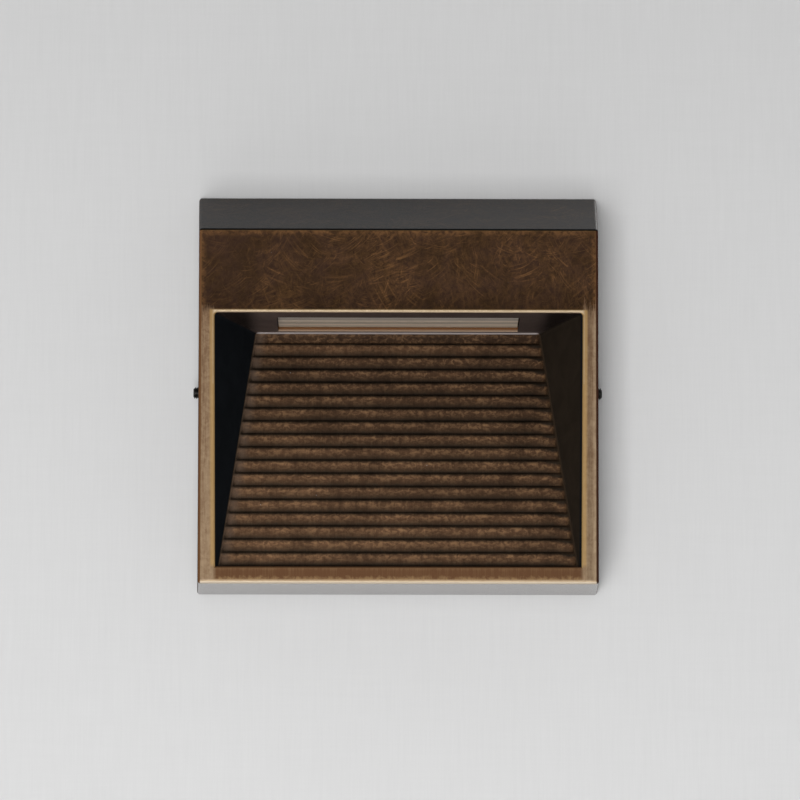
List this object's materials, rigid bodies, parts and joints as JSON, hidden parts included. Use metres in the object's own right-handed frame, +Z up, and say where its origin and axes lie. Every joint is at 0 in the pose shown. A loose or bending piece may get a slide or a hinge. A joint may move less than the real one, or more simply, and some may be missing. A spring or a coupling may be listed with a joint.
{
  "type": "outdoor wall sconce",
  "caption": "Square downlighting outdoor wall sconce with a hooded frame, a fluted lens and a slanted ribbed reflector, on a wall bracket with side set screws.",
  "frame": {"origin": "centre of the wall bracket's back face, which lies on the wall", "axes": "+X to the right, +Y into the wall, +Z up"},
  "size_m": [0.136, 0.0444, 0.1329],
  "materials": {
    "bronze_frame": "hand-brushed dark bronze, clear coated",
    "bronze_ramp": "hand-brushed dark bronze, clear coated",
    "clear_lens": "clear, fluted",
    "silicone": "matte",
    "sheet_steel": "plated",
    "steel_screws": "zinc plated",
    "heat_aluminium": "mill finish",
    "white_board": "white solder mask",
    "led_phosphor": "yellow phosphor",
    "connector_plastic": "moulded",
    "thermal_silicone": "matte",
    "driver_plastic": "moulded",
    "red_insulation": "satin",
    "black_insulation": "satin",
    "cover_aluminium": "cast, blasted",
    "black_rubber": "matte",
    "foam_rubber": "closed-cell foam",
    "zinc_bracket": "zinc plated",
    "green_screw": "green dichromate",
    "black_oxide": "black oxide",
    "nylon": "natural"
  },
  "bodies": {
    "wall_mount": {"wall_bracket": "zinc_bracket", "ground_screw": "green_screw"},
    "housing": {"front_housing": "bronze_frame", "ribbed_reflector": "bronze_ramp", "reflector_screws": "steel_screws", "lens": "clear_lens", "lens_gasket": "silicone", "lens_frame": "sheet_steel", "lens_frame_screws": "steel_screws", "heat_spreader": "heat_aluminium", "led_board": "white_board", "led_chips": "led_phosphor", "led_connector": "connector_plastic", "thermal_pad": "thermal_silicone", "board_screws": "steel_screws", "led_driver": "driver_plastic", "driver_screws": "steel_screws", "led_lead_red": "red_insulation", "led_lead_black": "black_insulation", "rear_cover": "cover_aluminium", "rear_cover_gasket": "silicone", "rear_cover_screws": "steel_screws", "lead_grommet": "black_rubber", "wall_gasket": "foam_rubber"},
    "left_screw": {"set_screw_left": "black_oxide"},
    "right_screw": {"set_screw_right": "black_oxide"},
    "left_tip": {"screw_tip_left": "nylon"},
    "right_tip": {"screw_tip_right": "nylon"}
  },
  "joints": [
    {"name": "housing_release", "type": "slide", "parent": "wall_mount", "child": "housing", "axis": [0, -1, 0], "range_m": [0, 0.06]},
    {"name": "left_screw_travel", "type": "slide", "parent": "housing", "child": "left_tip", "axis": [-1, 0, 0], "range_m": [0, 0.0021]},
    {"name": "left_screw_turn", "type": "hinge", "parent": "left_tip", "child": "left_screw", "pos_m": [-0.066, -0.009, 0], "axis": [-1, 0, 0], "range_deg": [0, 1080]},
    {"name": "right_screw_travel", "type": "slide", "parent": "housing", "child": "right_tip", "axis": [1, 0, 0], "range_m": [0, 0.0021]},
    {"name": "right_screw_turn", "type": "hinge", "parent": "right_tip", "child": "right_screw", "pos_m": [0.066, -0.009, 0], "axis": [1, 0, 0], "range_deg": [0, 1080]}
  ],
  "couplings": [
    {"joint": "left_screw_turn", "follows": "left_screw_travel", "rad_per_m": 8976},
    {"joint": "right_screw_turn", "follows": "right_screw_travel", "rad_per_m": 8976}
  ]
}
